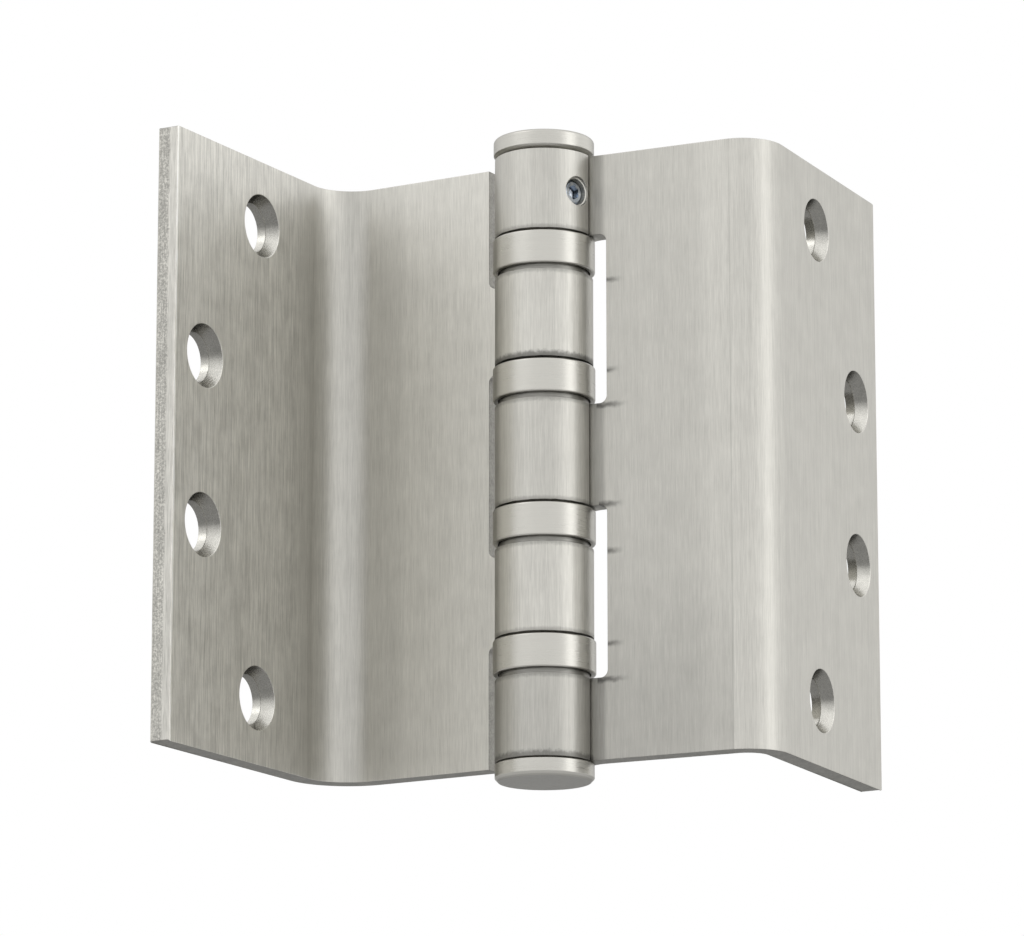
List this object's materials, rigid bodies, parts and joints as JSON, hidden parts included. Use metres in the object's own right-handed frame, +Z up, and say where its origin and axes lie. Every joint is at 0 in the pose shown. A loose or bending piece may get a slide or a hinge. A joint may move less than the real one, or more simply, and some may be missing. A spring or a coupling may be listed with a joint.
{
  "type": "swing clear butt hinge",
  "caption": "Swing clear door hinge with two right-angled leaves that nest when closed, a five-knuckle barrel on collared ball bearings and countersunk screw holes.",
  "frame": {"origin": "on the mounting face of the frame leaf's screw leg, midway between its outer pair of screw holes", "axes": "+Z up along the hinge pin, +X out of the frame leaf's countersunk face, +Y towards the free edge of that leaf"},
  "size_m": [0.0987, 0.1056, 0.1214],
  "materials": {
    "leaf_steel": "satin, brushed along the height",
    "pin_steel": "satin",
    "collar_steel": "turned satin",
    "race_steel": "hardened and ground",
    "cage_steel": "stamped",
    "ball_steel": "polished",
    "set_screw_steel": "bright"
  },
  "bodies": {
    "frame": {"frame_leaf": "leaf_steel", "hinge_pin": "pin_steel", "bottom_plug": "pin_steel", "set_screw": "set_screw_steel", "bearing_cover_1": "collar_steel", "upper_race_1": "race_steel", "lower_race_2": "race_steel", "bearing_cover_3": "collar_steel", "upper_race_3": "race_steel", "lower_race_4": "race_steel"},
    "door": {"door_leaf": "leaf_steel", "lower_race_1": "race_steel", "bearing_cover_2": "collar_steel", "upper_race_2": "race_steel", "lower_race_3": "race_steel", "bearing_cover_4": "collar_steel", "upper_race_4": "race_steel"},
    "ball_sets": {"ball_cage_1": "cage_steel", "ball_cage_2": "cage_steel", "ball_cage_3": "cage_steel", "ball_cage_4": "cage_steel", "bearing_balls": "ball_steel"}
  },
  "joints": [
    {"name": "leaf_swing", "type": "hinge", "parent": "frame", "child": "door", "pos_m": [-0.04035, -0.0255, 0], "axis": [0, 0, 1], "range_deg": [-86, 184.5]},
    {"name": "ball_roll", "type": "hinge", "parent": "frame", "child": "ball_sets", "pos_m": [-0.04035, -0.0255, 0], "axis": [0, 0, 1], "range_deg": [-43, 92.25]}
  ],
  "couplings": [
    {"joint": "ball_roll", "follows": "leaf_swing", "ratio": 0.5}
  ]
}
